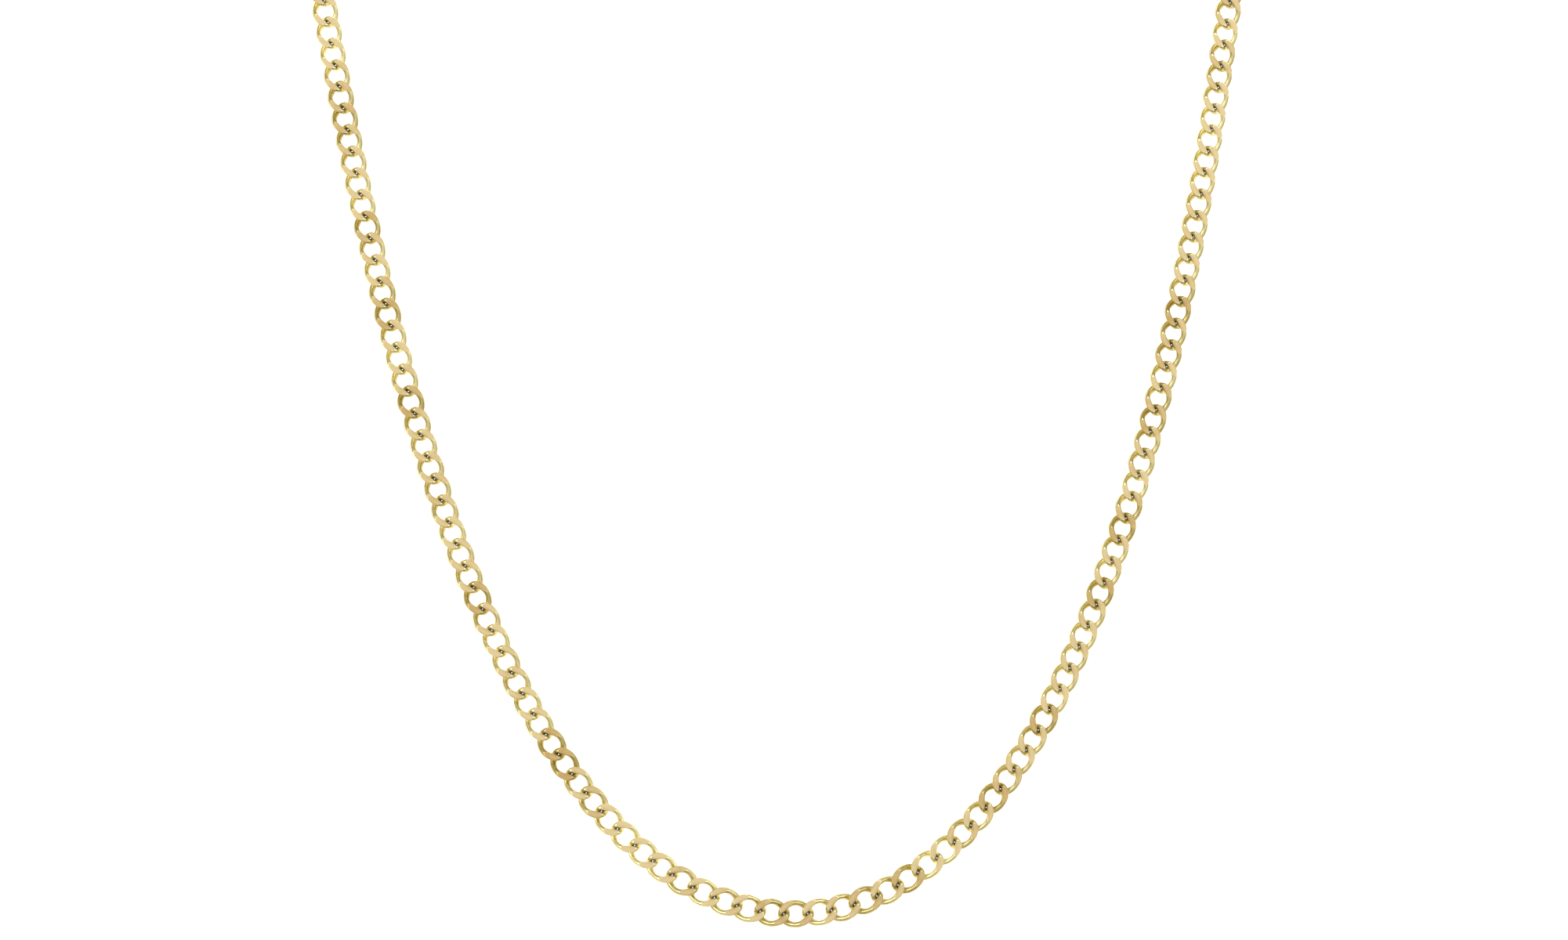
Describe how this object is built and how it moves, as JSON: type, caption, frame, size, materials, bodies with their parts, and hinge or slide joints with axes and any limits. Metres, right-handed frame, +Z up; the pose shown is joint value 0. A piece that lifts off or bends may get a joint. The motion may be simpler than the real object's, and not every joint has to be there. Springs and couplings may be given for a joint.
{
  "type": "chain necklace",
  "caption": "Flat yellow-gold curb chain necklace, its twisted oval links cut with broad bright facets, laid open in a U with a sprung lobster claw clasp and a catch ring.",
  "frame": {"origin": "under the middle of the front link, on the surface that the necklace lies on", "axes": "+Z up off the surface, +Y from the front of the necklace towards its two ends, +X to the right strand with the catch ring"},
  "size_m": [0.146, 0.2091, 0.0024],
  "materials": {
    "chain_gold": "polished yellow gold wire with diamond-cut faces",
    "cast_gold": "cast yellow gold, tumble polished",
    "ring_gold": "polished yellow gold wire",
    "spring_steel": "spring strip"
  },
  "bodies": {
    "front_run": {"front_run": "chain_gold"},
    "left_run_01": {"left_run_01": "chain_gold"},
    "left_run_02": {"left_run_02": "chain_gold"},
    "left_run_03": {"left_run_03": "chain_gold"},
    "left_run_04": {"left_run_04": "chain_gold"},
    "left_run_05": {"left_run_05": "chain_gold"},
    "left_run_06": {"left_run_06": "chain_gold"},
    "left_run_07": {"left_run_07": "chain_gold"},
    "left_run_08": {"left_run_08": "chain_gold"},
    "left_run_09": {"left_run_09": "chain_gold"},
    "left_run_10": {"left_run_10": "chain_gold"},
    "left_run_11": {"left_run_11": "chain_gold"},
    "left_run_12": {"left_run_12": "chain_gold"},
    "left_run_13": {"left_run_13": "chain_gold"},
    "left_run_14": {"left_run_14": "chain_gold"},
    "left_run_15": {"left_run_15": "chain_gold"},
    "left_run_16": {"left_run_16": "chain_gold"},
    "left_run_17": {"left_run_17": "chain_gold"},
    "left_run_18": {"left_run_18": "chain_gold"},
    "left_run_19": {"left_run_19": "chain_gold"},
    "left_run_20": {"left_run_20": "chain_gold"},
    "left_run_21": {"left_run_21": "chain_gold"},
    "left_run_22": {"left_run_22": "chain_gold"},
    "left_run_23": {"left_run_23": "chain_gold"},
    "left_run_24": {"left_run_24": "chain_gold"},
    "right_run_01": {"right_run_01": "chain_gold"},
    "right_run_02": {"right_run_02": "chain_gold"},
    "right_run_03": {"right_run_03": "chain_gold"},
    "right_run_04": {"right_run_04": "chain_gold"},
    "right_run_05": {"right_run_05": "chain_gold"},
    "right_run_06": {"right_run_06": "chain_gold"},
    "right_run_07": {"right_run_07": "chain_gold"},
    "right_run_08": {"right_run_08": "chain_gold"},
    "right_run_09": {"right_run_09": "chain_gold"},
    "right_run_10": {"right_run_10": "chain_gold"},
    "right_run_11": {"right_run_11": "chain_gold"},
    "right_run_12": {"right_run_12": "chain_gold"},
    "right_run_13": {"right_run_13": "chain_gold"},
    "right_run_14": {"right_run_14": "chain_gold"},
    "right_run_15": {"right_run_15": "chain_gold"},
    "right_run_16": {"right_run_16": "chain_gold"},
    "right_run_17": {"right_run_17": "chain_gold"},
    "right_run_18": {"right_run_18": "chain_gold"},
    "right_run_19": {"right_run_19": "chain_gold"},
    "right_run_20": {"right_run_20": "chain_gold"},
    "right_run_21": {"right_run_21": "chain_gold"},
    "right_run_22": {"right_run_22": "chain_gold"},
    "right_run_23": {"right_run_23": "chain_gold"},
    "right_run_24": {"right_run_24": "chain_gold"},
    "clasp_ring": {"clasp_ring": "ring_gold"},
    "clasp": {"clasp_body": "cast_gold", "clasp_pin": "ring_gold", "clasp_spring": "spring_steel"},
    "clasp_lever": {"clasp_lever": "cast_gold"},
    "catch_ring": {"catch_ring": "ring_gold"}
  },
  "joints": [
    {"name": "left_bend_01", "type": "hinge", "parent": "front_run", "child": "left_run_01", "pos_m": [-0.00445, 0.00034, 0.0006], "axis": [0, 0, 1], "range_deg": [-5.19, 18.81]},
    {"name": "left_fold_02", "type": "hinge", "parent": "left_run_01", "child": "left_run_02", "pos_m": [-0.01286, 0.00327, 0.0006], "axis": [0.4695, 0.883, 0], "range_deg": [-20, 20]},
    {"name": "left_bend_03", "type": "hinge", "parent": "left_run_02", "child": "left_run_03", "pos_m": [-0.02013, 0.00843, 0.0006], "axis": [0, 0, -1], "range_deg": [-15.81, 8.19]},
    {"name": "left_fold_04", "type": "hinge", "parent": "left_run_03", "child": "left_run_04", "pos_m": [-0.02623, 0.01495, 0.0006], "axis": [-0.7807, -0.6249, 0], "range_deg": [-20, 20]},
    {"name": "left_bend_05", "type": "hinge", "parent": "left_run_04", "child": "left_run_05", "pos_m": [-0.03137, 0.02226, 0.0006], "axis": [0, 0, -1], "range_deg": [-13.88, 10.12]},
    {"name": "left_fold_06", "type": "hinge", "parent": "left_run_05", "child": "left_run_06", "pos_m": [-0.03575, 0.03004, 0.0006], "axis": [-0.89, -0.456, 0], "range_deg": [-20, 20]},
    {"name": "left_bend_07", "type": "hinge", "parent": "left_run_06", "child": "left_run_07", "pos_m": [-0.03956, 0.03813, 0.0006], "axis": [0, 0, 1], "range_deg": [-10.96, 13.04]},
    {"name": "left_fold_08", "type": "hinge", "parent": "left_run_07", "child": "left_run_08", "pos_m": [-0.04292, 0.04642, 0.0006], "axis": [0.9351, 0.3544, 0], "range_deg": [-20, 20]},
    {"name": "left_bend_09", "type": "hinge", "parent": "left_run_08", "child": "left_run_09", "pos_m": [-0.04592, 0.05484, 0.0006], "axis": [0, 0, 1], "range_deg": [-11.35, 12.65]},
    {"name": "left_fold_10", "type": "hinge", "parent": "left_run_09", "child": "left_run_10", "pos_m": [-0.04863, 0.06335, 0.0006], "axis": [0.9573, 0.2892, 0], "range_deg": [-20, 20]},
    {"name": "left_bend_11", "type": "hinge", "parent": "left_run_10", "child": "left_run_11", "pos_m": [-0.05111, 0.07195, 0.0006], "axis": [0, 0, -1], "range_deg": [-12.44, 11.56]},
    {"name": "left_fold_12", "type": "hinge", "parent": "left_run_11", "child": "left_run_12", "pos_m": [-0.05338, 0.08059, 0.0006], "axis": [-0.9697, -0.2444, 0], "range_deg": [-20, 20]},
    {"name": "left_bend_13", "type": "hinge", "parent": "left_run_12", "child": "left_run_13", "pos_m": [-0.05549, 0.08928, 0.0006], "axis": [0, 0, -1], "range_deg": [-12.32, 11.68]},
    {"name": "left_fold_14", "type": "hinge", "parent": "left_run_13", "child": "left_run_14", "pos_m": [-0.05745, 0.098, 0.0006], "axis": [-0.9773, -0.212, 0], "range_deg": [-20, 20]},
    {"name": "left_bend_15", "type": "hinge", "parent": "left_run_14", "child": "left_run_15", "pos_m": [-0.05928, 0.10675, 0.0006], "axis": [0, 0, 1], "range_deg": [-11.76, 12.24]},
    {"name": "left_fold_16", "type": "hinge", "parent": "left_run_15", "child": "left_run_16", "pos_m": [-0.06101, 0.11552, 0.0006], "axis": [0.9823, 0.1875, 0], "range_deg": [-20, 20]},
    {"name": "left_bend_17", "type": "hinge", "parent": "left_run_16", "child": "left_run_17", "pos_m": [-0.06264, 0.12431, 0.0006], "axis": [0, 0, 1], "range_deg": [-11.82, 12.18]},
    {"name": "left_fold_18", "type": "hinge", "parent": "left_run_17", "child": "left_run_18", "pos_m": [-0.06418, 0.13312, 0.0006], "axis": [0.9857, 0.1684, 0], "range_deg": [-20, 20]},
    {"name": "left_bend_19", "type": "hinge", "parent": "left_run_18", "child": "left_run_19", "pos_m": [-0.06565, 0.14194, 0.0006], "axis": [0, 0, -1], "range_deg": [-12.15, 11.85]},
    {"name": "left_fold_20", "type": "hinge", "parent": "left_run_19", "child": "left_run_20", "pos_m": [-0.06705, 0.15077, 0.0006], "axis": [-0.9882, -0.1531, 0], "range_deg": [-20, 20]},
    {"name": "left_bend_21", "type": "hinge", "parent": "left_run_20", "child": "left_run_21", "pos_m": [-0.06839, 0.15961, 0.0006], "axis": [0, 0, -1], "range_deg": [-12.12, 11.88]},
    {"name": "left_fold_22", "type": "hinge", "parent": "left_run_21", "child": "left_run_22", "pos_m": [-0.06967, 0.16845, 0.0006], "axis": [-0.9901, -0.1405, 0], "range_deg": [-20, 20]},
    {"name": "left_bend_23", "type": "hinge", "parent": "left_run_22", "child": "left_run_23", "pos_m": [-0.0709, 0.17731, 0.0006], "axis": [0, 0, 1], "range_deg": [-11.9, 12.1]},
    {"name": "left_fold_24", "type": "hinge", "parent": "left_run_23", "child": "left_run_24", "pos_m": [-0.07209, 0.18617, 0.0006], "axis": [0.9915, 0.13, 0], "range_deg": [-20, 20]},
    {"name": "right_bend_01", "type": "hinge", "parent": "front_run", "child": "right_run_01", "pos_m": [0.00444, 0.00048, 0.0006], "axis": [0, 0, 1], "range_deg": [-18.81, 5.19]},
    {"name": "right_fold_02", "type": "hinge", "parent": "right_run_01", "child": "right_run_02", "pos_m": [0.01275, 0.00367, 0.0006], "axis": [-0.497, 0.8678, 0], "range_deg": [-20, 20]},
    {"name": "right_bend_03", "type": "hinge", "parent": "right_run_02", "child": "right_run_03", "pos_m": [0.01986, 0.00905, 0.0006], "axis": [0, 0, -1], "range_deg": [-8.19, 15.81]},
    {"name": "right_fold_04", "type": "hinge", "parent": "right_run_03", "child": "right_run_04", "pos_m": [0.02575, 0.01576, 0.0006], "axis": [0.8, -0.6, 0], "range_deg": [-20, 20]},
    {"name": "right_bend_05", "type": "hinge", "parent": "right_run_04", "child": "right_run_05", "pos_m": [0.03065, 0.02323, 0.0006], "axis": [0, 0, -1], "range_deg": [-10.12, 13.88]},
    {"name": "right_fold_06", "type": "hinge", "parent": "right_run_05", "child": "right_run_06", "pos_m": [0.03479, 0.03115, 0.0006], "axis": [0.9039, -0.4278, 0], "range_deg": [-20, 20]},
    {"name": "right_bend_07", "type": "hinge", "parent": "right_run_06", "child": "right_run_07", "pos_m": [0.03835, 0.03935, 0.0006], "axis": [0, 0, 1], "range_deg": [-13.04, 10.96]},
    {"name": "right_fold_08", "type": "hinge", "parent": "right_run_07", "child": "right_run_08", "pos_m": [0.04144, 0.04774, 0.0006], "axis": [-0.9458, 0.3248, 0], "range_deg": [-20, 20]},
    {"name": "right_bend_09", "type": "hinge", "parent": "right_run_08", "child": "right_run_09", "pos_m": [0.04418, 0.05625, 0.0006], "axis": [0, 0, 1], "range_deg": [-12.65, 11.35]},
    {"name": "right_fold_10", "type": "hinge", "parent": "right_run_09", "child": "right_run_10", "pos_m": [0.04662, 0.06485, 0.0006], "axis": [-0.9659, 0.259, 0], "range_deg": [-20, 20]},
    {"name": "right_bend_11", "type": "hinge", "parent": "right_run_10", "child": "right_run_11", "pos_m": [0.04882, 0.07352, 0.0006], "axis": [0, 0, -1], "range_deg": [-11.56, 12.44]},
    {"name": "right_fold_12", "type": "hinge", "parent": "right_run_11", "child": "right_run_12", "pos_m": [0.05082, 0.08223, 0.0006], "axis": [0.9769, -0.2139, 0], "range_deg": [-20, 20]},
    {"name": "right_bend_13", "type": "hinge", "parent": "right_run_12", "child": "right_run_13", "pos_m": [0.05265, 0.09098, 0.0006], "axis": [0, 0, -1], "range_deg": [-11.68, 12.32]},
    {"name": "right_fold_14", "type": "hinge", "parent": "right_run_13", "child": "right_run_14", "pos_m": [0.05434, 0.09976, 0.0006], "axis": [0.9834, -0.1812, 0], "range_deg": [-20, 20]},
    {"name": "right_bend_15", "type": "hinge", "parent": "right_run_14", "child": "right_run_15", "pos_m": [0.0559, 0.10856, 0.0006], "axis": [0, 0, 1], "range_deg": [-12.24, 11.76]},
    {"name": "right_fold_16", "type": "hinge", "parent": "right_run_15", "child": "right_run_16", "pos_m": [0.05735, 0.11738, 0.0006], "axis": [-0.9877, 0.1566, 0], "range_deg": [-20, 20]},
    {"name": "right_bend_17", "type": "hinge", "parent": "right_run_16", "child": "right_run_17", "pos_m": [0.0587, 0.12622, 0.0006], "axis": [0, 0, 1], "range_deg": [-12.18, 11.82]},
    {"name": "right_fold_18", "type": "hinge", "parent": "right_run_17", "child": "right_run_18", "pos_m": [0.05997, 0.13507, 0.0006], "axis": [-0.9905, 0.1373, 0], "range_deg": [-20, 20]},
    {"name": "right_bend_19", "type": "hinge", "parent": "right_run_18", "child": "right_run_19", "pos_m": [0.06116, 0.14393, 0.0006], "axis": [0, 0, -1], "range_deg": [-11.85, 12.15]},
    {"name": "right_fold_20", "type": "hinge", "parent": "right_run_19", "child": "right_run_20", "pos_m": [0.06228, 0.1528, 0.0006], "axis": [0.9925, -0.1219, 0], "range_deg": [-20, 20]},
    {"name": "right_bend_21", "type": "hinge", "parent": "right_run_20", "child": "right_run_21", "pos_m": [0.06334, 0.16168, 0.0006], "axis": [0, 0, -1], "range_deg": [-11.88, 12.12]},
    {"name": "right_fold_22", "type": "hinge", "parent": "right_run_21", "child": "right_run_22", "pos_m": [0.06435, 0.17056, 0.0006], "axis": [0.994, -0.1093, 0], "range_deg": [-20, 20]},
    {"name": "right_bend_23", "type": "hinge", "parent": "right_run_22", "child": "right_run_23", "pos_m": [0.0653, 0.17945, 0.0006], "axis": [0, 0, 1], "range_deg": [-12.1, 11.9]},
    {"name": "right_fold_24", "type": "hinge", "parent": "right_run_23", "child": "right_run_24", "pos_m": [0.0662, 0.18834, 0.0006], "axis": [-0.9951, 0.0988, 0], "range_deg": [-20, 20]},
    {"name": "clasp_ring_swing", "type": "hinge", "parent": "left_run_24", "child": "clasp_ring", "pos_m": [-0.07324, 0.19514, 0.0006], "axis": [0, 0, 1], "range_deg": [-2, 20]},
    {"name": "clasp_swing", "type": "hinge", "parent": "clasp_ring", "child": "clasp", "pos_m": [-0.07341, 0.19726, 0.00116], "axis": [-0.992, -0.1262, 0], "range_deg": [-60, 60]},
    {"name": "lever_hinge", "type": "hinge", "parent": "clasp", "child": "clasp_lever", "pos_m": [-0.07496, 0.20151, 0.00122], "axis": [0, 0, 1], "range_deg": [-22, 0], "stiffness_Nm_per_rad": 0.004, "springref_deg": 17.19, "deforming": ["clasp_spring"]},
    {"name": "catch_ring_swing", "type": "hinge", "parent": "right_run_24", "child": "catch_ring", "pos_m": [0.06708, 0.19734, 0.0006], "axis": [0, 0, 1], "range_deg": [-10, 5]}
  ]
}
